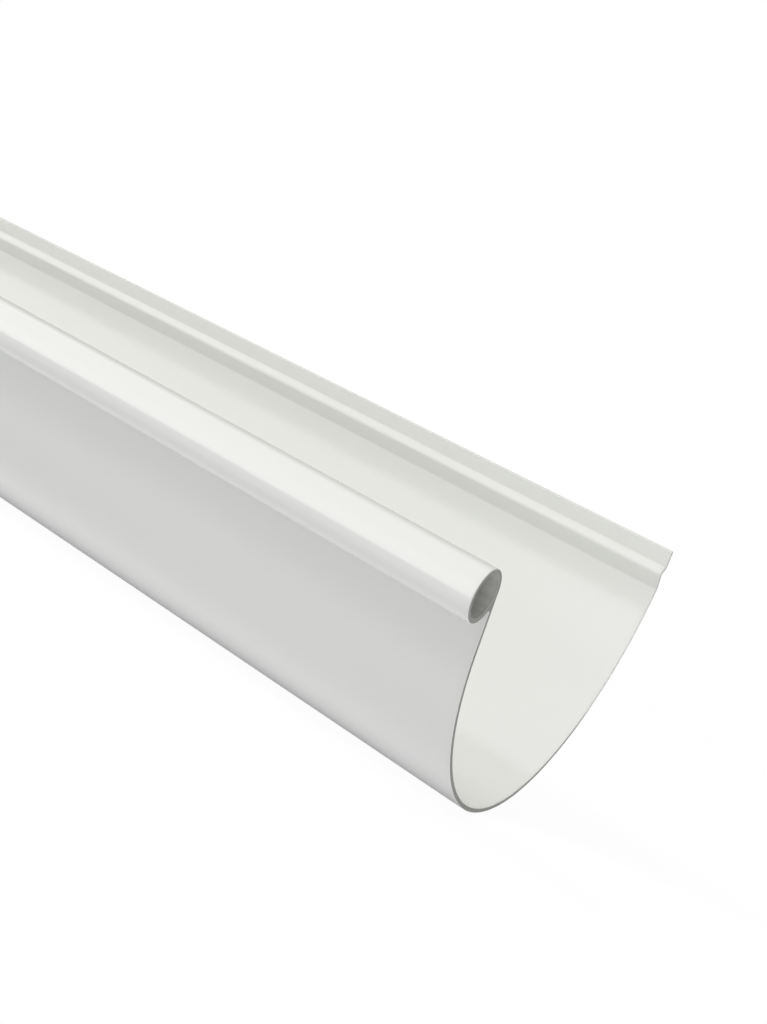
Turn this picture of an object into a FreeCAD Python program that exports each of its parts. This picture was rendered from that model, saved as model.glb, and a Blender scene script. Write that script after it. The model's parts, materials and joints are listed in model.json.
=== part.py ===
"""Half-round rain gutter: one length of extruded rigid PVC, as it is sold.

The gutter is a single wall of even thickness. Its section, from front to back, is a hollow round
bead that the bracket's front clip grips, a short straight run that leans outwards, a half-round
channel, and a back edge with a small kink. The kink stands into the channel as a rib, with a
ledge on top for the bracket's rear tongue, and leaves a matching groove on the outside.

The section is drawn once, in the YZ plane, with its origin at the centre of the half-round
channel and the bead at -Y, and is pushed along X. The length is then laid as it lies loose on a
level floor: on its round bottom, rolled forwards by the weight of the bead until its centre of
mass is right below the centre of the channel.
"""
import FreeCAD, Part
import os
from math import atan2, cos, degrees, pi, radians, sin, sqrt

import Sketcher
from FreeCAD import Rotation, Vector

# millimetres and degrees
SIZES = [
    ("gutter_length", 2000.0),     # a length that this gutter is sold in
    ("channel_radius", 90.0),      # outside radius of the half-round channel
    ("wall_thickness", 1.8),
    ("front_lean", 12.0),          # how far the front run leans outwards
    ("front_run", 21.4),           # straight wall between the channel and the bead
    ("bead_diameter", 18.0),       # outside of the round bead
    ("bead_wall", 1.8),
    ("bead_root_radius", 1.0),     # fillet where the bead closes on the front run
    ("back_rise", 10.2),           # how far the back edge goes on past the channel's centre
    ("rib_level", 4.9),            # height of the rib's nose above the channel's centre
    ("rib_depth", 3.0),            # how far the rib stands into the channel
    ("rib_lean", 26.0),            # lean of the rib's underside
    ("rib_foot_radius", 2.0),      # bend where the underside leaves the channel
    ("groove_radius", 0.6),        # tight bend at the bottom of the outside groove
    ("ledge_slope", 38.0),         # rise of the ledge towards the wall
    ("ledge_foot_radius", 0.6),    # tight bend where the ledge meets the back edge
]

# what a constraint can hold of an element
START, END, CENTRE = 1, 2, 3
ORIGIN = (-1, START)


def add_sheet(doc):
    """Write the driving sizes to a spreadsheet, each beside its name."""
    sheet = doc.addObject("Spreadsheet::Sheet", "Sizes")
    for row, (name, value) in enumerate(SIZES, start=1):
        sheet.set(f"A{row}", name)
        sheet.set(f"B{row}", str(value))
        sheet.setAlias(f"B{row}", name)
    doc.recompute()
    return sheet


def towards(angle):
    """Return the unit vector at an angle in radians, counted from +Y towards +Z."""
    return Vector(cos(angle), sin(angle), 0)


def angle_of(vector):
    """Return the angle that a vector of the section points at."""
    return atan2(vector.y, vector.x)


def bend_centre(point, along, inward, radius, channel):
    """Return the centre of a bend between a straight stretch and the round of the channel.

    The stretch runs through point in the direction along. The bend lies on its inward side and
    touches the round, whose radius is channel, from within.
    """
    start = point + inward * radius
    reach = channel - radius
    lead = start.dot(along)
    return start + along * (sqrt(lead ** 2 - start.dot(start) + reach ** 2) - lead)


class Section:
    """The sketch of the gutter's section, whose elements go by names."""

    def __init__(self, sketch):
        self.sketch = sketch
        self.ids = {}

    def arc(self, name, centre, radius, start, end):
        """Draw an arc that runs anticlockwise from one angle to another."""
        circle = Part.Circle(centre, Vector(0, 0, 1), radius)
        self.ids[name] = self.sketch.addGeometry(Part.ArcOfCircle(circle, start, end), False)

    def circle(self, name, centre, radius):
        """Draw a full circle."""
        circle = Part.Circle(centre, Vector(0, 0, 1), radius)
        self.ids[name] = self.sketch.addGeometry(circle, False)

    def line(self, name, start, end):
        """Draw a straight stretch from one (element, point) pair to another."""
        ends = [self.sketch.getPoint(self.ids[element], point) for element, point in (start, end)]
        self.ids[name] = self.sketch.addGeometry(Part.LineSegment(*ends), False)

    def tie(self, kind, *ends):
        """Tie two ends: Tangent joins them smoothly, Coincident puts them on one place."""
        places = []
        for end in ends:
            places += end if end == ORIGIN else (self.ids[end[0]], end[1])
        self.sketch.addConstraint(Sketcher.Constraint(kind, *places))

    def drive(self, name, kind, places, value, expression):
        """Add a named dimension that follows the sheet."""
        index = self.sketch.addConstraint(Sketcher.Constraint(kind, *places, value))
        self.sketch.renameConstraint(index, name)
        self.sketch.setExpression(f"Constraints.{name}", expression)

    def radius(self, name, value, expression):
        """Hold the radius of an arc or a circle."""
        self.drive(f"{name}_radius", "Radius", (self.ids[name],), value, expression)


def draw_section(sketch, sheet):
    """Draw the section: the inner face, the outer face, the bead and its bore."""
    section = Section(sketch)
    wall = sheet.wall_thickness
    faces = {"inner": sheet.channel_radius - wall, "outer": sheet.channel_radius}
    front = pi + radians(sheet.front_lean)
    front_out = towards(front)
    front_up = towards(front - pi / 2)
    top = radians(sheet.back_rise)

    # the rib's nose, and the bends on either side of it, seen from the inner face
    nose_radius = wall + sheet.groove_radius
    nose_reach = faces["inner"] - sheet.rib_depth + nose_radius
    nose = Vector(sqrt(nose_reach ** 2 - sheet.rib_level ** 2), sheet.rib_level, 0)
    under_normal = pi + radians(sheet.rib_lean)
    ledge_normal = pi / 2 + radians(sheet.ledge_slope)
    foot_radius = sheet.rib_foot_radius
    foot = bend_centre(nose + towards(under_normal) * nose_radius, towards(under_normal + pi / 2),
                       towards(under_normal), foot_radius, faces["inner"])
    corner_radius = sheet.ledge_foot_radius
    corner = bend_centre(nose + towards(ledge_normal) * nose_radius,
                         towards(ledge_normal - pi / 2), towards(ledge_normal), corner_radius,
                         faces["inner"])

    for face, radius in faces.items():
        behind = radius - faces["inner"]
        section.arc(f"{face}_channel", Vector(), radius, front, 2 * pi + angle_of(foot))
        section.arc(f"{face}_foot", foot, foot_radius + behind, angle_of(foot),
                    under_normal - pi)
        section.arc(f"{face}_nose", nose, nose_radius - behind, ledge_normal, under_normal)
        section.arc(f"{face}_corner", corner, corner_radius + behind, ledge_normal - pi,
                    angle_of(corner))
        section.arc(f"{face}_back", Vector(), radius, angle_of(corner), top)
        section.line(f"{face}_under", (f"{face}_foot", END), (f"{face}_nose", END))
        section.line(f"{face}_ledge", (f"{face}_nose", START), (f"{face}_corner", START))
    section.line("back_edge", ("inner_back", END), ("outer_back", END))

    # the bead: the front run goes on into it smoothly, and it closes on the run's outer side
    bead_radius = sheet.bead_diameter / 2
    bead = front_out * (faces["inner"] + bead_radius) + front_up * sheet.front_run
    root_radius = sheet.bead_root_radius
    root_out = bead_radius - wall - root_radius
    root_reach = bead_radius + root_radius
    root = bead - front_out * root_out - front_up * sqrt(root_reach ** 2 - root_out ** 2)
    section.arc("bead", bead, bead_radius, front - pi, 2 * pi + angle_of(root - bead))
    section.arc("bead_root", root, root_radius, front - pi, angle_of(bead - root))
    section.circle("bore", bead, bead_radius - sheet.bead_wall)
    section.line("inner_run", ("inner_channel", START), ("bead", START))
    section.line("outer_run", ("outer_channel", START), ("bead_root", START))

    tie_section(section)
    drive_section(section, sheet)


def tie_section(section):
    """Join the elements in a ring, and let the outer face keep an even wall behind the inner."""
    for face in ("inner", "outer"):
        section.tie("Coincident", (f"{face}_channel", CENTRE), ORIGIN)
        section.tie("Coincident", (f"{face}_back", CENTRE), ORIGIN)
        section.tie("Tangent", (f"{face}_channel", END), (f"{face}_foot", START))
        section.tie("Tangent", (f"{face}_foot", END), (f"{face}_under", START))
        section.tie("Tangent", (f"{face}_under", END), (f"{face}_nose", END))
        section.tie("Tangent", (f"{face}_nose", START), (f"{face}_ledge", START))
        section.tie("Tangent", (f"{face}_ledge", END), (f"{face}_corner", START))
        section.tie("Tangent", (f"{face}_corner", END), (f"{face}_back", START))
        section.tie("Tangent", (f"{face}_channel", START), (f"{face}_run", START))
    for bend in ("foot", "nose", "corner"):
        section.tie("Coincident", (f"inner_{bend}", CENTRE), (f"outer_{bend}", CENTRE))
    section.tie("Coincident", ("inner_back", END), ("back_edge", START))
    section.tie("Coincident", ("outer_back", END), ("back_edge", END))
    section.tie("Tangent", ("inner_run", END), ("bead", START))
    section.tie("Tangent", ("bead", END), ("bead_root", END))
    section.tie("Tangent", ("outer_run", END), ("bead_root", START))
    section.tie("Coincident", ("bead", CENTRE), ("bore", CENTRE))


def drive_section(section, sheet):
    """Give the section its sizes. Each one follows the sheet."""
    ids = section.ids
    wall = sheet.wall_thickness
    inside = sheet.channel_radius - wall
    for stretch in ("channel", "back"):
        section.radius(f"inner_{stretch}", inside, "Sizes.channel_radius - Sizes.wall_thickness")
        section.radius(f"outer_{stretch}", sheet.channel_radius, "Sizes.channel_radius")

    section.drive("front_lean", "Angle", (ids["inner_run"],), radians(90 + sheet.front_lean),
                  "90 + Sizes.front_lean")
    section.drive("front_run", "Distance", (ids["inner_run"],), sheet.front_run,
                  "Sizes.front_run")
    section.sketch.addConstraint(
        Sketcher.Constraint("Parallel", ids["inner_run"], ids["outer_run"]))
    section.radius("bead", sheet.bead_diameter / 2, "Sizes.bead_diameter / 2")
    section.radius("bore", sheet.bead_diameter / 2 - sheet.bead_wall,
                   "Sizes.bead_diameter / 2 - Sizes.bead_wall")
    section.radius("bead_root", sheet.bead_root_radius, "Sizes.bead_root_radius")

    nose = (ids["inner_nose"], CENTRE)
    nose_reach = sheet.channel_radius - sheet.rib_depth + sheet.groove_radius
    section.drive("rib_reach", "Distance", (*ORIGIN, *nose), nose_reach,
                  "Sizes.channel_radius - Sizes.rib_depth + Sizes.groove_radius")
    section.drive("rib_level", "DistanceY", (*ORIGIN, *nose), sheet.rib_level, "Sizes.rib_level")
    section.radius("inner_nose", wall + sheet.groove_radius,
                   "Sizes.wall_thickness + Sizes.groove_radius")
    section.radius("outer_nose", sheet.groove_radius, "Sizes.groove_radius")
    section.drive("rib_lean", "Angle", (ids["inner_under"],), radians(90 + sheet.rib_lean),
                  "90 + Sizes.rib_lean")
    section.radius("inner_foot", sheet.rib_foot_radius, "Sizes.rib_foot_radius")
    section.drive("ledge_slope", "Angle", (ids["inner_ledge"],), radians(sheet.ledge_slope),
                  "Sizes.ledge_slope")
    section.radius("inner_corner", sheet.ledge_foot_radius, "Sizes.ledge_foot_radius")

    section.sketch.addConstraint(
        Sketcher.Constraint("PointOnObject", *ORIGIN, ids["back_edge"]))
    section.drive("back_rise", "Angle", (ids["back_edge"],), radians(sheet.back_rise),
                  "Sizes.back_rise")


def add_gutter(doc, sheet):
    """Build the gutter's body: the section pushed evenly to both sides of the YZ plane."""
    body = doc.addObject("PartDesign::Body", "Gutter")
    body.Label = "gutter"
    sketch = body.newObject("Sketcher::SketchObject", "Section")
    across = next(plane for plane in body.Origin.OriginFeatures if plane.Role == "YZ_Plane")
    sketch.AttachmentSupport = [(across, "")]
    sketch.MapMode = "FlatFace"
    draw_section(sketch, sheet)
    doc.recompute()

    length = body.newObject("PartDesign::Pad", "Length")
    length.Profile = sketch
    length.SideType = "Symmetric"
    length.setExpression("Length", "Sizes.gutter_length")
    doc.recompute()
    return body


def lay_down(body):
    """Roll the gutter about its length to its balance, and rest it at the origin's level."""
    heavy_side = atan2(body.Shape.CenterOfMass.z, body.Shape.CenterOfMass.y)
    roll = Rotation(Vector(1, 0, 0), degrees(-pi / 2 - heavy_side))
    body.Placement = FreeCAD.Placement(Vector(), roll)
    box = body.Shape.optimalBoundingBox(False)
    body.Placement = FreeCAD.Placement(Vector(0, -box.Center.y, -box.ZMin), roll)


def check(doc, body):
    """Stop if a step of the document failed, or if the piece isn't one sound solid."""
    for item in doc.Objects:
        if "Invalid" in item.State or "Error" in item.State:
            raise RuntimeError(f"{item.Label} failed: {item.State}")
    if body.Shape.isNull() or not body.Shape.isValid() or len(body.Shape.Solids) != 1:
        raise RuntimeError(f"{body.Label} isn't one sound solid")


def main():
    doc = FreeCAD.newDocument("Gutter")
    sheet = add_sheet(doc)
    gutter = add_gutter(doc, sheet)
    lay_down(gutter)
    doc.recompute()
    check(doc, gutter)
    os.makedirs("parts", exist_ok=True)
    gutter.Shape.exportStep(f"parts/{gutter.Label}.step")

    shape = gutter.Shape
    box = shape.optimalBoundingBox(False)
    print(f"free moves left in the section: {doc.getObject('Section').DoF}")
    print(f"roll {gutter.Placement.Rotation.Angle * 180 / pi:.3f} degrees")
    print(f"box {box.XLength:.1f} x {box.YLength:.2f} x {box.ZLength:.2f} mm")
    print(f"section {shape.Volume / box.XLength:.1f} mm2, volume {shape.Volume / 1000:.1f} cm3")


main()
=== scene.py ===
# %% [markdown]
# # A length of white half-round gutter
# This lesson dresses one length of extruded PVC rain gutter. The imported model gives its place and
# its size. The script draws the section again with fine curves, pushes it out to the full
# length, and gives it a glossy white skin and a grey, sawn end.
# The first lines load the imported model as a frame. Everything is in metres, +X runs along the
# gutter, and the beaded front is at -Y.

# %% Load the frame
import json
import math

import bmesh
import bpy
from mathutils import Matrix, Vector


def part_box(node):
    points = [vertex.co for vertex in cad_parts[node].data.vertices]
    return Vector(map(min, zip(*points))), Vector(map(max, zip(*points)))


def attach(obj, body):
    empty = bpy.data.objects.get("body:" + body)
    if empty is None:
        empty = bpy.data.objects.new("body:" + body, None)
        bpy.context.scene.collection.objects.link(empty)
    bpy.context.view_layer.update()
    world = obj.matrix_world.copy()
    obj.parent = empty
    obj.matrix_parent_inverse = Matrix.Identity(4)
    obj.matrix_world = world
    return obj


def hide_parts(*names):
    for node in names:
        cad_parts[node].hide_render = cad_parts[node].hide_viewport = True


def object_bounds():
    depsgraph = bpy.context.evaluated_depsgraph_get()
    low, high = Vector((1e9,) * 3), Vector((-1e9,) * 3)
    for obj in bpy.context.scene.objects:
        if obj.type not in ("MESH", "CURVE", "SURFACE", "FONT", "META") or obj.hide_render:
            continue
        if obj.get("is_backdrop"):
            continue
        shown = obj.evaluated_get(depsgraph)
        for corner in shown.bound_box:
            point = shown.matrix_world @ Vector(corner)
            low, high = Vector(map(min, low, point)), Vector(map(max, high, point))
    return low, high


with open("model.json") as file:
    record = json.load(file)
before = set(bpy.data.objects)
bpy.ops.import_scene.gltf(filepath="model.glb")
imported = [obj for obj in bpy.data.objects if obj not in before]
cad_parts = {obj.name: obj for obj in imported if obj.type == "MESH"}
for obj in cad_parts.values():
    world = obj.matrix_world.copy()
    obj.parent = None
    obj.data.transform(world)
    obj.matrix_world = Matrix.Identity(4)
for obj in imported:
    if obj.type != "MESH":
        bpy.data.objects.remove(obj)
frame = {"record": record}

cad_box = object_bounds()
MM = 0.001
low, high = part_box("gutter")
length = high.x - low.x
print(f"gutter {length:.3f} m long, {high.y - low.y:.4f} m across, {high.z - low.z:.4f} m high")

# %% [markdown]
# ## Where the section lies
# The gutter lies loose on its round bottom, so it has rolled a little towards its bead. The
# record gives two places that fix the roll: the axis of the round channel and the axis of the
# bead. It is easier to draw the section upright and turn it afterwards than to draw it rolled.
# The straight run between the channel and the bead is what is left of the distance between the
# two axes, because the run meets both rounds smoothly.

# %% Read the channel's and the bead's axes
mounts = {mount["name"]: mount for mount in frame["record"]["mounts"]}


def axis_and_radius(name):
    """Return the (y, z) place of a round mount's axis, and its radius."""
    mount = mounts[name]
    return Vector(mount["pos_m"][1:]), mount["dims"]["r_mm"] * MM


channel_axis, channel_radius = axis_and_radius("round_bottom")
bead_axis, bead_radius = axis_and_radius("front_bead")
wall = 1.8 * MM
front_lean = math.radians(12)
inside_radius = channel_radius - wall

to_bead = bead_axis - channel_axis
across_to_bead = inside_radius + bead_radius
front_run = math.sqrt(to_bead.length ** 2 - across_to_bead ** 2)
upright_angle = math.pi + front_lean - math.atan2(front_run, across_to_bead)
roll = (math.atan2(to_bead.y, to_bead.x) - upright_angle) % math.tau
print(f"front run {front_run / MM:.2f} mm, rolled {math.degrees(roll):.2f} degrees")

# %% [markdown]
# ## The section as a line of bends
# An extruder's die is drawn from straight stretches and round bends. The same can be done here:
# each bend is a centre, a radius and two angles, and the straight stretches come for free
# between the end of one bend and the start of the next. The inner and the outer face share
# their centres, and that keeps the wall even through every bend. Fine steps on the round parts
# keep the bead's outline smooth in close views.

# %% A bend's points
def towards(angle):
    """Return the unit vector at an angle from +Y towards +Z."""
    return Vector((math.cos(angle), math.sin(angle)))


def bend(centre, radius, start, end, step=math.radians(3)):
    """Return points on an arc from one angle to another, either way round."""
    count = max(2, math.ceil(abs(end - start) / step))
    turn = (end - start) / count
    return [centre + towards(start + turn * i) * radius for i in range(count + 1)]


def blend_centre(point, along, inward, radius):
    """Return the centre of a bend between a straight stretch and the inside of the channel."""
    start = point + inward * radius
    reach = inside_radius - radius
    lead = start.dot(along)
    return start + along * (math.sqrt(lead ** 2 - start.length_squared + reach ** 2) - lead)


print(f"a full turn takes {len(bend(Vector((0, 0)), channel_radius, 0, math.tau)) - 1} steps")

# %% [markdown]
# ## The rib by the back edge
# Near its back edge the wall kinks inwards and back out again. The kink is a rib with a ledge
# on top, which stiffens the edge and gives the brackets' rear clips something to hold. It is
# three bends in a row: the foot, where the wall leaves the channel, the nose at the rib's tip,
# and the corner between the ledge and the upright edge. The nose's place is known from the
# rib's depth and level. The other two bends are found from it, because each has to meet both
# its straight stretch and the channel without a crease.

# %% The rib by the back edge
rib_level = 4.9 * MM
rib_depth = 3.0 * MM
rib_lean = math.radians(26)
rib_foot_radius = 2.0 * MM
groove_radius = 0.6 * MM
ledge_slope = math.radians(38)
ledge_foot_radius = 0.6 * MM
back_rise = math.radians(10.2)
edge_round = 0.35 * MM

nose_radius = wall + groove_radius
nose_reach = inside_radius - rib_depth + nose_radius
nose = Vector((math.sqrt(nose_reach ** 2 - rib_level ** 2), rib_level))
under_normal = math.pi + rib_lean
ledge_normal = math.pi / 2 + ledge_slope
foot = blend_centre(nose + towards(under_normal) * nose_radius,
                    towards(under_normal + math.pi / 2), towards(under_normal), rib_foot_radius)
corner = blend_centre(nose + towards(ledge_normal) * nose_radius,
                      towards(ledge_normal - math.pi / 2), towards(ledge_normal),
                      ledge_foot_radius)


def angle_of(vector):
    """Return the angle that a vector points at."""
    return math.atan2(vector.y, vector.x)


print(f"the rib stands {rib_depth / MM:.1f} mm in from the wall, {rib_level / MM:.1f} mm above "
      "the channel's axis")

# %% [markdown]
# ## The bead
# The front edge ends in a hollow bead, a small tube that makes the thin wall stiff. The wall's
# inner face runs on into the bead without a crease, while the outer face meets the tube in a
# tight inside bend. A die maker always puts a bend there, because a sharp inside corner would
# crack. Its centre lies one bend radius away from both faces.

# %% The bead and its foot
out = towards(math.pi + front_lean)
up = towards(math.pi / 2 + front_lean)
bead = out * across_to_bead + up * front_run
bead_root_radius = 1.0 * MM
root_out = bead_radius - wall - bead_root_radius
root_down = math.sqrt((bead_radius + bead_root_radius) ** 2 - root_out ** 2)
root = bead - out * root_out - up * root_down
print(f"bead {2 * bead_radius / MM:.0f} mm, with a root bend of {bead_root_radius / MM:.1f} mm")

# %% [markdown]
# ## One walk around the section
# The outline is one closed walk: along the outer face from the front to the back edge, over
# that edge, back along the inner face, and around the bead. The bore is a loop of its own. A
# new length has slightly rounded edges where it left the die, so the back edge gets two tiny
# bends in place of its corners.

# %% One loop for the outline and one for the bore
def outline_loop():
    """Return the closed outline of the section, anticlockwise, as (y, z) points."""
    channel_step, nose_step = math.radians(1.5), math.radians(6)
    small_step, edge_step = math.radians(12), math.radians(30)
    zero = Vector((0, 0))
    front = math.pi + front_lean
    edge = back_rise - edge_round / channel_radius
    edge_up = back_rise + math.pi / 2
    outer_edge = towards(edge) * (channel_radius - edge_round)
    inner_edge = towards(edge) * (inside_radius + edge_round)
    points = bend(zero, channel_radius, front, math.tau + angle_of(foot), channel_step)
    points += bend(foot, rib_foot_radius + wall, angle_of(foot), rib_lean)
    points += bend(nose, groove_radius, under_normal, ledge_normal, small_step)
    points += bend(corner, ledge_foot_radius + wall, ledge_normal - math.pi, angle_of(corner))
    points += bend(outer_edge, edge_round, back_rise, edge_up, edge_step)
    points += bend(inner_edge, edge_round, edge_up, back_rise + math.pi, edge_step)
    points += bend(corner, ledge_foot_radius, angle_of(corner), ledge_normal - math.pi, small_step)
    points += bend(nose, nose_radius, ledge_normal, under_normal, nose_step)
    points += bend(foot, rib_foot_radius, rib_lean, angle_of(foot))
    points += bend(zero, inside_radius, math.tau + angle_of(foot), front, channel_step)
    points += bend(bead, bead_radius, front_lean, math.tau + angle_of(root - bead))
    points += bend(root, bead_root_radius, angle_of(bead - root), front_lean, small_step)
    return points


def without_doubles(points):
    """Return the loop without points that lie on the one before them."""
    least = 0.01 * MM
    return [p for i, p in enumerate(points) if (p - points[i - 1]).length > least]


outline = without_doubles(outline_loop())
bore = bend(bead, bead_radius - wall, 0, math.tau)[:-1]
print(f"outline of {len(outline)} points, bore of {len(bore)} points")

# %% [markdown]
# ## From the section to the solid
# The real gutter leaves the die as an endless profile and a saw cuts it to length. The mesh is
# made the same way: the loops are repeated at a few stations along the length and joined with
# long faces, and the two ends are closed. The saw's burr is knocked off, so the last station is
# drawn in a little, which gives a fine bright line round each end. A plain extrude of a curve
# would also work, but it leaves no say over which faces are skin and which are cut.

# %% Stations along the length
burr = 0.2 * MM
half = length / 2
middle_x = (low.x + high.x) / 2
stations = [(-half, burr), (-half + burr, 0.0), (half - burr, 0.0), (half, burr)]


def drawn_in(points, depth):
    """Return a loop with every point moved into the material, to the left of its travel."""
    moved = []
    for i, point in enumerate(points):
        after = points[(i + 1) % len(points)]
        travel = (after - points[i - 1]).normalized()
        moved.append(point + Vector((-travel.y, travel.x)) * depth)
    return moved


def placed(point, x):
    """Return a point of the upright section where it lies in the rolled gutter."""
    turned = Matrix.Rotation(roll, 2) @ point
    return Vector((middle_x + x, channel_axis.x + turned.x, channel_axis.y + turned.y))


# %% Build the gutter
SKIN, CUT, BORE = 0, 1, 2
crease_angle = math.radians(38)


def sweep(mesh, loop, material):
    """Join a loop's copies at all stations with long faces, and return the end rings."""
    rings = [[mesh.verts.new(placed(point, x)) for point in drawn_in(loop, depth)]
             for x, depth in stations]
    for here, there in zip(rings, rings[1:]):
        for i in range(len(loop)):
            j = (i + 1) % len(loop)
            face = mesh.faces.new((here[i], here[j], there[j], there[i]))
            face.material_index = material
            face.smooth = True
    return rings[0], rings[-1]


def close_end(mesh, rings):
    """Close one end between the outline and the bore with a flat sawn face."""
    edges = [mesh.edges.get((ring[i - 1], ring[i])) for ring in rings for i in range(len(ring))]
    made = bmesh.ops.triangle_fill(mesh, use_beauty=True, edges=edges)
    for face in made["geom"]:
        if isinstance(face, bmesh.types.BMFace):
            face.material_index = CUT


def build_gutter():
    """Return the gutter as one closed mesh object."""
    mesh = bmesh.new()
    outer_ends = sweep(mesh, outline, SKIN)
    bore_ends = sweep(mesh, bore[::-1], BORE)
    for rings in zip(outer_ends, bore_ends):
        close_end(mesh, rings)
    bmesh.ops.recalc_face_normals(mesh, faces=mesh.faces)
    data = bpy.data.meshes.new("gutter_length")
    mesh.to_mesh(data)
    mesh.free()
    data.set_sharp_from_angle(angle=crease_angle)
    piece = bpy.data.objects.new("gutter_length", data)
    bpy.context.scene.collection.objects.link(piece)
    return piece


gutter = build_gutter()
print(f"gutter mesh: {len(gutter.data.vertices)} points, {len(gutter.data.polygons)} faces")

# %% [markdown]
# ## Helpers for node work
# A material is a small network: coordinates go in, patterns come out, and the shader turns them
# into light. These helpers keep the later cells short. One adds a node and sets its inputs by
# name. Another starts a node group, which is an effect with named inputs and outputs that
# several materials can share, each with its own values. Others mix two colours, raise a relief,
# start a material, and hand its colour, roughness and relief to its shader.

# %% Node helpers
def set_input(tree, socket, value):
    """Give a socket a plain value, or link it when the value is another node's output."""
    if isinstance(value, bpy.types.NodeSocket):
        tree.links.new(value, socket)
    else:
        socket.default_value = value


def add(tree, kind, inputs=None, **settings):
    """Add a node, set its properties and its inputs, and return it."""
    node = tree.nodes.new(kind)
    for name, value in settings.items():
        setattr(node, name, value)
    for name, value in (inputs or {}).items():
        set_input(tree, node.inputs[name], value)
    return node


def reckon(tree, operation, *values):
    """Add a Math node and return its result."""
    inputs = dict(enumerate(values))
    return add(tree, "ShaderNodeMath", inputs, operation=operation).outputs[0]


def stretched(tree, position, scale):
    """Return the position with each of its three directions scaled on its own."""
    return add(tree, "ShaderNodeVectorMath", {0: position, 1: scale},
               operation="MULTIPLY").outputs[0]


def rising(tree, value, start, end, low_result=0.0, high_result=1.0):
    """Return a value that goes softly from one result to another between start and end."""
    inputs = {"Value": value, "From Min": start, "From Max": end, "To Min": low_result,
              "To Max": high_result}
    return add(tree, "ShaderNodeMapRange", inputs, interpolation_type="SMOOTHSTEP").outputs[0]


# %% Groups and materials
def new_group(name, inputs, outputs):
    """Start a node group, and return its tree, its inputs by name and its output node."""
    tree = bpy.data.node_groups.new(name, "ShaderNodeTree")
    kinds = {"vector": "NodeSocketVector", "value": "NodeSocketFloat"}
    for label, kind in inputs.items():
        tree.interface.new_socket(label, in_out="INPUT", socket_type=kinds[kind])
    for label in outputs:
        tree.interface.new_socket(label, in_out="OUTPUT", socket_type="NodeSocketFloat")
    return tree, add(tree, "NodeGroupInput").outputs, add(tree, "NodeGroupOutput")


def use(tree, group, inputs):
    """Place a node group in a material and return its outputs."""
    return add(tree, "ShaderNodeGroup", inputs, node_tree=group).outputs


def mixed_colour(tree, share, first, second):
    """Return a colour between two others, which nears the second as the share goes to 1."""
    return add(tree, "ShaderNodeMix", {"Factor": share, "A": first, "B": second},
               data_type="RGBA").outputs["Result"]


def raised(tree, height, strength, distance):
    """Return the normal of a surface with a relief of the given height."""
    return add(tree, "ShaderNodeBump", {"Height": height, "Strength": strength,
                                        "Distance": distance}).outputs["Normal"]


def finish_surface(tree, shader, colour, roughness, normal):
    """Feed a shader the colour, the roughness and the normal that change over the surface."""
    for name, value in (("Base Color", colour), ("Roughness", roughness), ("Normal", normal)):
        set_input(tree, shader.inputs[name], value)


def new_material(name):
    """Return an empty material, its tree, its Principled shader and the object's position."""
    material = bpy.data.materials.new(name)
    material.use_nodes = True
    tree = material.node_tree
    tree.nodes.clear()
    shader = add(tree, "ShaderNodeBsdfPrincipled")
    add(tree, "ShaderNodeOutputMaterial", {"Surface": shader.outputs["BSDF"]})
    return material, tree, shader, add(tree, "ShaderNodeTexCoord").outputs["Object"]


# %% [markdown]
# ## Extrusion lines
# Plastic that leaves a die carries its tiny nicks along as straight, faint lines. They never
# change along the length, only across it. A noise texture gives such lines when its
# coordinates are stretched: many noise cells to the metre across the gutter, and hardly one
# along it. Two sizes are mixed, fine scratches and a broad ripple, because either alone looks
# like a pattern.

# %% The group for extrusion lines
lines_group, given, lines_out = new_group(
    "Extrusion Lines", {"Position": "vector", "Lines Per Metre": "value", "Ripple": "value"},
    ["Height", "Streaks"])
cells_along = 0.8
ripple_cells = (0.3, 75.0, 75.0)
streaks_start, streaks_full = 0.42, 0.68
line_cells = add(lines_group, "ShaderNodeCombineXYZ",
                 {"X": cells_along, "Y": given["Lines Per Metre"],
                  "Z": given["Lines Per Metre"]}).outputs[0]
fine = add(lines_group, "ShaderNodeTexNoise",
           {"Vector": stretched(lines_group, given["Position"], line_cells), "Scale": 1.0,
            "Detail": 3.0}).outputs["Fac"]
broad = add(lines_group, "ShaderNodeTexNoise",
            {"Vector": stretched(lines_group, given["Position"], ripple_cells), "Scale": 1.0,
             "Detail": 1.0}).outputs["Fac"]
ripple = reckon(lines_group, "MULTIPLY", broad, given["Ripple"])
set_input(lines_group, lines_out.inputs["Height"], reckon(lines_group, "ADD", fine, ripple))
set_input(lines_group, lines_out.inputs["Streaks"],
          rising(lines_group, fine, streaks_start, streaks_full))
print(f"{lines_group.name}: {len(lines_group.nodes)} nodes")

# %% [markdown]
# ## Cloudy gloss
# No moulded or extruded plastic is equally glossy all over. It cools unevenly, and hands and
# packing leave duller clouds on it. This group gives a soft value between two limits, with
# clouds of a chosen size. It drives roughness rather than colour, since that is what changes
# on the real thing.

# %% The group for cloudy gloss
clouds_group, given, clouds_out = new_group(
    "Cloudy Gloss", {"Position": "vector", "Clouds Per Metre": "value", "Least": "value",
                     "Most": "value"}, ["Roughness"])
long_clouds = (0.35, 1.0, 1.0)
noise_low, noise_high = 0.3, 0.7
clouds = add(clouds_group, "ShaderNodeTexNoise",
             {"Vector": stretched(clouds_group, given["Position"], long_clouds),
              "Scale": given["Clouds Per Metre"], "Detail": 4.0}).outputs["Fac"]
set_input(clouds_group, clouds_out.inputs["Roughness"],
          rising(clouds_group, clouds, noise_low, noise_high, given["Least"], given["Most"]))
print(f"{clouds_group.name}: {len(clouds_group.nodes)} nodes")
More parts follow.
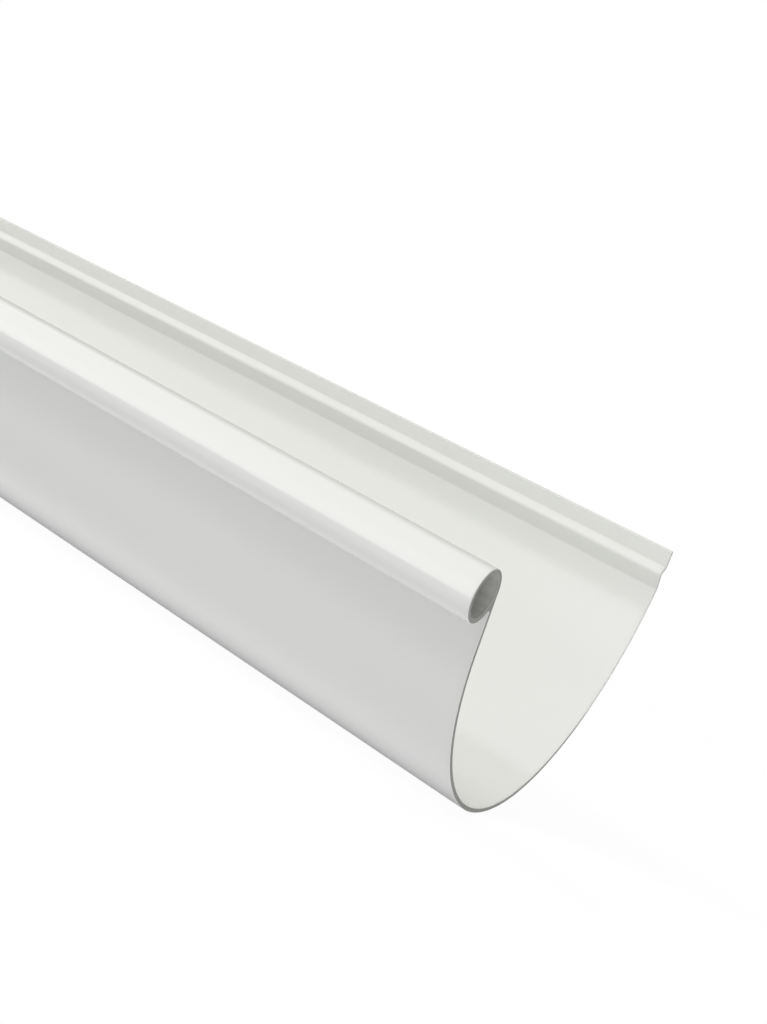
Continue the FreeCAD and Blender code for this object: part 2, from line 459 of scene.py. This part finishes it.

# %% [markdown]
# ## Rubbed places, and painted shade on the bore's rim
# A gutter is stacked, carried and laid down before it is put up, so it gets a few short
# scuffs, mostly along its length, and its sawn ends get dull from handling. One group finds
# both: sparse scuffs, from a noise that is cut off high, and a band near each end that fades
# out unevenly. Its mask can then dull the gloss and grey the white a little. In the bore the
# same band darkens the rim, and there it is painted shade.

# %% The group for rubbed places and the rim's painted shade
rubs_group, given, rubs_and_shade_out = new_group(
    "Rubbed Places", {"Position": "vector", "Half Length": "value", "End Band": "value",
                      "Scuffs": "value"}, ["Rubbed"])
scuff_cells = (22.0, 420.0, 420.0)
patches_per_metre = 9.0
scuff_start, scuff_full = 0.62, 0.72
patch_start, patch_full = 0.52, 0.66
end_strength = 0.7
scratch = add(rubs_group, "ShaderNodeTexNoise",
              {"Vector": stretched(rubs_group, given["Position"], scuff_cells),
               "Scale": 1.0, "Detail": 2.0, "Distortion": 0.6}).outputs["Fac"]
patch = add(rubs_group, "ShaderNodeTexNoise",
            {"Vector": given["Position"], "Scale": patches_per_metre,
             "Detail": 2.0}).outputs["Fac"]
sparse = reckon(rubs_group, "MULTIPLY", rising(rubs_group, scratch, scuff_start, scuff_full),
                rising(rubs_group, patch, patch_start, patch_full))
scuffs = reckon(rubs_group, "MULTIPLY", sparse, given["Scuffs"])
# The band near each end is wear on the skin, and painted shade on the bore's rim.
from_middle = add(rubs_group, "ShaderNodeSeparateXYZ", {0: given["Position"]}).outputs["X"]
to_end = reckon(rubs_group, "SUBTRACT", given["Half Length"],
                reckon(rubs_group, "ABSOLUTE", from_middle))
uneven = reckon(rubs_group, "MULTIPLY", given["End Band"], reckon(rubs_group, "ADD", patch, 0.4))
band = reckon(rubs_group, "SUBTRACT", 1.0, rising(rubs_group, to_end, 0.0, uneven))
end_rub_and_shade = reckon(rubs_group, "MULTIPLY", band, end_strength)
rub_and_shade = reckon(rubs_group, "MAXIMUM", scuffs, end_rub_and_shade)
set_input(rubs_group, rubs_and_shade_out.inputs["Rubbed"], rub_and_shade)
print(f"{rubs_group.name}: {len(rubs_group.nodes)} nodes")

# %% [markdown]
# ## The white skin
# The skin is glossy white PVC, which stands up to the sun. Its white leans a little to green
# and yellow, and stays well under 1 so that shading shows on it. The lines and the clouds make
# its gloss uneven, and the rubbed places are duller and a touch darker. The grey of the sawn
# end is painted shade, not a second plastic under the skin.

# %% White skin
fresh_white = (0.793, 0.8, 0.762, 1)
rubbed_white = (0.68, 0.68, 0.65, 1)
pvc_ior = 1.52
skin, tree, shader, position = new_material("white_skin")
lines = use(tree, lines_group, {"Position": position, "Lines Per Metre": 900.0, "Ripple": 2.0})
gloss = use(tree, clouds_group, {"Position": position, "Clouds Per Metre": 14.0, "Least": 0.11,
                                 "Most": 0.15})
worn = use(tree, rubs_group, {"Position": position, "Half Length": half, "End Band": 0.003,
                              "Scuffs": 0.06})
rubbed_tint, rubbed_dullness, streak_dullness = 0.3, 0.2, 0.01
tint = mixed_colour(tree, reckon(tree, "MULTIPLY", worn["Rubbed"], rubbed_tint), fresh_white,
                    rubbed_white)
streaked = reckon(tree, "MULTIPLY_ADD", lines["Streaks"], streak_dullness, gloss["Roughness"])
dulled = reckon(tree, "MULTIPLY_ADD", worn["Rubbed"], rubbed_dullness, streaked)
finish_surface(tree, shader, tint, dulled,
               raised(tree, lines["Height"], strength=0.15, distance=0.02 * MM))
shader.inputs["IOR"].default_value = pvc_ior
print(f"{skin.name}: {len(tree.nodes)} nodes")

# %% [markdown]
# ## The sawn end
# The cut is painted grey, and that grey is painted shade: the sawn face turns away from the
# key. The saw's teeth leave arcs, and the swarf makes them uneven. The arcs are drawn as thin
# shells about one point, high over the front and halfway along the gutter, so one pattern
# serves both ends. A cut meets the shells at a slant, which sets its arcs a few millimetres
# apart. Towards the back the painted shade lifts and the cut stays white, and about half of
# the shade comes back at the rib. The angle round the channel says where that is, and a noise
# keeps the borders ragged.

# %% Marks of the blade
blade_forward, blade_up = 0.16, 0.22
blade_middle = (0.0, channel_axis.x - blade_forward, channel_axis.y + blade_up)
shell_step = 0.9 * MM
marks_waver = 5.0
# The sawn end's colour is painted shade. Its arcs are real relief.
core, tree, shader, position = new_material("sawn_cut_painted_shade")
marks = add(tree, "ShaderNodeVectorMath", {0: position, 1: blade_middle},
            operation="DISTANCE").outputs["Value"]
swarf = add(tree, "ShaderNodeTexNoise", {"Vector": position, "Scale": 260.0,
                                         "Detail": 4.0}).outputs["Fac"]
arcs = reckon(tree, "SINE", reckon(tree, "MULTIPLY_ADD", marks, math.tau / shell_step,
                                   reckon(tree, "MULTIPLY", swarf, marks_waver)))
blade_reach = math.hypot(blade_forward, blade_up)
arc_step = shell_step * math.hypot(half, blade_reach) / blade_reach
print(f"{core.name}: arcs about {arc_step / MM:.1f} mm apart on the cut")

# %% Where the painted shade lifts off the cut
# These greys are painted shade on the cut, mixed at random by the swarf.
dark_cut_shade, pale_cut_shade = (0.24, 0.238, 0.225, 1), (0.36, 0.357, 0.335, 1)
# The cut keeps this white where the painted shade lifts.
unshaded_cut_white = (0.80, 0.80, 0.77, 1)
# Where the painted shade lifts at the back, and how much of it comes back at the rib.
shade_lift_start, shade_lift_full = -0.76, -0.60
rib_shade_start, rib_shade_full, rib_unshaded_share = -0.12, 0.08, 0.45
border_waver, swarf_height = 0.12, 1.5
from_axis = add(tree, "ShaderNodeVectorMath", {0: position, 1: (0.0, *channel_axis)},
                operation="SUBTRACT").outputs["Vector"]
parts = add(tree, "ShaderNodeSeparateXYZ", {0: from_axis}).outputs
angle = reckon(tree, "ARCTAN2", parts["Z"], parts["Y"])
ragged = reckon(tree, "MULTIPLY_ADD", swarf, border_waver, angle)
shade_lifted = rising(tree, ragged, roll + shade_lift_start, roll + shade_lift_full)
rib_painted_shade = rising(tree, ragged, roll + rib_shade_start, roll + rib_shade_full, 1.0, rib_unshaded_share)
unshaded_share = reckon(tree, "MULTIPLY", shade_lifted, rib_painted_shade)
# The cut's colour: speckled painted shade, lifted to white at the back.
speckled_cut_shade = mixed_colour(tree, swarf, dark_cut_shade, pale_cut_shade)
cut_painted_shade = mixed_colour(tree, unshaded_share, speckled_cut_shade, unshaded_cut_white)
height = reckon(tree, "MULTIPLY_ADD", swarf, swarf_height, arcs)
gloss = use(tree, clouds_group, {"Position": position, "Clouds Per Metre": 300.0, "Least": 0.5,
                                 "Most": 0.7})
finish_surface(tree, shader, cut_painted_shade, gloss["Roughness"],
               raised(tree, height, strength=0.5, distance=0.05 * MM))
print(f"{core.name}: {len(tree.nodes)} nodes")

# %% [markdown]
# ## Inside the bead
# The bore of the bead never sees the sun, so it has no white skin. It is plastic as it left
# the die: grey, duller than the skin, and with coarser lines, because nobody polishes the pin
# that forms it. It is smoother than the cut and paler too, and it looks dark only because
# little light finds its way in. Its rim is painted nearly as dark as the cut, and that is
# painted shade, which keeps the rounded rim from catching the light.

# %% Bore of the bead
dark_streak, pale_streak = (0.63, 0.628, 0.59, 1), (0.69, 0.688, 0.65, 1)
# The rim's colour is painted shade, nearly as dark as the cut.
painted_rim_shade = (0.28, 0.279, 0.265, 1)
bore_grey, tree, shader, position = new_material("bore_grey")
lines = use(tree, lines_group, {"Position": position, "Lines Per Metre": 600.0, "Ripple": 2.0})
gloss = use(tree, clouds_group, {"Position": position, "Clouds Per Metre": 60.0, "Least": 0.45,
                                 "Most": 0.6})
# The band near each end darkens the bore's rim: painted shade over the rounded rim.
rim_shade = use(tree, rubs_group, {"Position": position, "Half Length": half, "End Band": 0.0008,
                             "Scuffs": 0.0})
wall_tint = mixed_colour(tree, lines["Streaks"], dark_streak, pale_streak)
tint = mixed_colour(tree, rim_shade["Rubbed"], wall_tint, painted_rim_shade)
finish_surface(tree, shader, tint, gloss["Roughness"],
               raised(tree, lines["Height"], strength=0.4, distance=0.03 * MM))
print(f"{bore_grey.name}: {len(tree.nodes)} nodes")

# %% [markdown]
# ## Join the looks to the part
# The mesh's faces already say which of the three materials they wear.

# %% Dress the gutter
for material in (skin, core, bore_grey):
    gutter.data.materials.append(material)
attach(gutter, "root")
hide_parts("gutter")
print(f"{gutter.name} wears {', '.join(m.name for m in gutter.data.materials)}")

# %% [markdown]
# ## The table
# The gutter lies on a broad white table. Two things matter: how much light the table throws
# back up onto the round underside, and that it looks white. A matt shader with some glow of
# its own does the first. For the second, rays that come straight from the camera mostly see a
# plain white, with enough of the real table left in it to keep the shadow. The gloss doesn't
# see the table, because the room gives it a floor of its own.

# %% Table
reach = 6.0
table_mesh = bpy.data.meshes.new("table")
table_mesh.from_pydata([(-reach, -reach, 0), (reach, -reach, 0), (reach, reach, 0),
                        (-reach, reach, 0)], [], [(0, 1, 2, 3)])
table = bpy.data.objects.new("table", table_mesh)
table.location.z = channel_axis.y - channel_radius
bpy.context.scene.collection.objects.link(table)
table.visible_glossy = False
table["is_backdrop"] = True
print(f"table {2 * reach:.0f} m wide at z = {table.location.z:.4f} m")

# %% The table's surface
table_grey, table_glow = (0.5, 0.5, 0.5, 1), (0.965, 0.965, 1.03, 1)
glow_strength, paper_strength = 0.44, 1.028
paper_share = 0.85
paper = bpy.data.materials.new("white_table")
paper.use_nodes = True
tree = paper.node_tree
tree.nodes.clear()
matt = add(tree, "ShaderNodeBsdfDiffuse", {"Color": table_grey})
glow = add(tree, "ShaderNodeEmission", {"Color": table_glow, "Strength": glow_strength})
lit = add(tree, "ShaderNodeAddShader", {0: matt.outputs[0], 1: glow.outputs[0]})
white = add(tree, "ShaderNodeEmission", {"Color": (1, 1, 1, 1), "Strength": paper_strength})
path = add(tree, "ShaderNodeLightPath").outputs
straight = reckon(tree, "MAXIMUM", path["Is Camera Ray"], path["Is Transmission Ray"])
share = reckon(tree, "MULTIPLY", straight, paper_share)
mixed = add(tree, "ShaderNodeMixShader", {0: share, 1: lit.outputs[0], 2: white.outputs[0]})
add(tree, "ShaderNodeOutputMaterial", {"Surface": mixed.outputs[0]})
table_mesh.materials.append(paper)
print(f"{paper.name}: {len(tree.nodes)} nodes")

# %% [markdown]
# ## The room
# Glossy plastic shows what stands around it, so the room has to be right and not only bright.
# A white cloth hangs in front of the gutter, from overhead down to a hem below the horizon, and
# its lower part is the brightest. The bead mirrors it as a bright band with a sharp lower edge,
# which is what makes it look round and shiny. Under the hem it is dark, and behind that lies a
# pale floor, which the bead mirrors as a lighter line low down. Only rays that leave a gloss
# see the cloth and the floor. Rays that leave a matt surface see plain white that is stronger
# on the left, and rays from the camera see white paper.
# All heights are angles above the front: 90 degrees is overhead, and -90 is straight down.

# %% Start the world
world = bpy.data.worlds.new("studio")
bpy.context.scene.world = world
world.use_nodes = True
tree = world.node_tree
tree.nodes.clear()
direction = add(tree, "ShaderNodeTexCoord").outputs["Generated"]
way = add(tree, "ShaderNodeSeparateXYZ", {0: direction}).outputs
to_front = reckon(tree, "MULTIPLY", way["Y"], -1.0)
rise = reckon(tree, "ARCTAN2", way["Z"], to_front)


def by_height(lower, upper, below, above):
    """Return a value that changes softly between two heights, given in degrees."""
    return rising(tree, rise, math.radians(lower), math.radians(upper), below, above)


print(f"{world.name}: {len(tree.nodes)} nodes that tell the height of a direction")

# %% The cloth and the floor that the gloss mirrors
cloth_low, cloth_high, cloth_behind = 2.5, 1.55, 0.22
floor_pale, floor_far = 0.8, 0.4
hem = by_height(-35, -29, 0.0, 1.0)
top = by_height(95, 130, 1.0, cloth_behind)
bright = by_height(0, 40, cloth_low, cloth_high)
cloth = reckon(tree, "MULTIPLY", reckon(tree, "MULTIPLY", hem, top), bright)
far_floor = by_height(-160, -122, floor_far, 1.0)
near_floor = by_height(-128, -82, floor_pale, 0.0)
floor = reckon(tree, "MULTIPLY", far_floor, near_floor)
mirrored = add(tree, "ShaderNodeBackground", {"Strength": reckon(tree, "ADD", cloth, floor)})
print(f"cloth of strength {cloth_low} low down and {cloth_high} high up, floor of {floor_pale}")

# %% What the other rays see
side_change, side_middle = -0.66, 0.67
left = reckon(tree, "MULTIPLY_ADD", way["X"], side_change, side_middle)
soft = add(tree, "ShaderNodeBackground", {"Strength": left})
paper_white = add(tree, "ShaderNodeBackground", {"Strength": 1.0})
for background in (mirrored, soft, paper_white):
    background.inputs["Color"].default_value = (1, 1, 1, 1)
path = add(tree, "ShaderNodeLightPath").outputs
around = add(tree, "ShaderNodeMixShader", {0: path["Is Glossy Ray"], 1: soft.outputs[0],
                                           2: mirrored.outputs[0]}).outputs[0]
straight = reckon(tree, "MAXIMUM", path["Is Camera Ray"], path["Is Transmission Ray"])
mixed = add(tree, "ShaderNodeMixShader", {0: straight, 1: around,
                                          2: paper_white.outputs[0]}).outputs[0]
add(tree, "ShaderNodeOutputWorld", {"Surface": mixed})
print(f"{world.name}: {len(tree.nodes)} nodes")

# %% [markdown]
# ## The lamps
# One big soft lamp, the key, hangs far off to the left of the front, at 41 degrees. It makes the
# top of the bead and the ledge bright and leaves their undersides grey, and it throws the soft
# shadow onto the table. It stands behind the plane of the sawn end, so a smaller lamp beyond
# that end looks straight at the cut. Neither is mirrored in the gutter, because a glossy tube
# would show a lamp as a hard streak along its whole length.

# %% Lamps
def softbox(name, aim, lean, height, distance, size, power):
    """Hang a square lamp that points at a place.

    Height is its angle above the front, seen along the gutter, and lean its angle towards +X.
    """
    way = Vector((math.sin(lean), -math.cos(lean) * math.cos(height),
                  math.cos(lean) * math.sin(height)))
    lamp = bpy.data.lights.new(name, "AREA")
    lamp.shape = "SQUARE"
    lamp.size = size
    lamp.energy = power
    holder = bpy.data.objects.new(name, lamp)
    holder.location = aim + way * distance
    holder.rotation_mode = "QUATERNION"
    holder.rotation_quaternion = (-way).to_track_quat("-Z", "Y")
    holder.visible_glossy = False
    bpy.context.scene.collection.objects.link(holder)
    print(f"{name}: {power} W at ({', '.join(f'{v:.2f}' for v in holder.location)}) m")


aim_from_end = 0.4
aim = Vector((high.x - aim_from_end, *channel_axis))
softbox("key", aim, lean=math.radians(-35), height=math.radians(41), distance=9.0, size=3.0,
        power=330)
softbox("end", aim, lean=math.radians(88), height=math.radians(20), distance=6.0, size=1.5,
        power=125)

# %% [markdown]
# ## The camera
# The camera stands just past the sawn end, in front of the gutter and level with its bead, and
# looks along it. It is rolled about its own axis, so the gutter runs down to the right across
# the picture. A small shift of the lens moves the gutter up in the frame without turning the
# camera.

# %% Camera
past_end, before_axis, below_axis = 0.1219, 0.4348, 0.0202
camera_data = bpy.data.cameras.new("camera")
camera = bpy.data.objects.new("camera", camera_data)
bpy.context.scene.collection.objects.link(camera)
bpy.context.scene.camera = camera
azimuth, elevation, tilt = math.radians(28.94), math.radians(-6.32), math.radians(29.36)
back = Vector((math.sin(azimuth) * math.cos(elevation), -math.cos(azimuth) * math.cos(elevation),
               math.sin(elevation)))
camera.rotation_mode = "QUATERNION"
level_view = (-back).to_track_quat("-Z", "Y")
camera.rotation_quaternion = level_view @ Matrix.Rotation(tilt, 3, "Z").to_quaternion()
camera.location = (high.x + past_end, channel_axis.x - before_axis, channel_axis.y - below_axis)
camera_data.sensor_width = 36
camera_data.lens = 42.17
camera_data.shift_y = -0.125
camera_data.clip_start = 0.01
print(f"camera {(camera.location - aim).length:.2f} m from the lamps' aim")

# %% [markdown]
# ## Finish
# The Standard view shows colours as they are written.

# %% Finish
bpy.context.scene.view_settings.view_transform = "Standard"
new_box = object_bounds()
for label, box in (("model", cad_box), ("dressed", new_box)):
    print(label, [[round(value, 4) for value in corner] for corner in box])
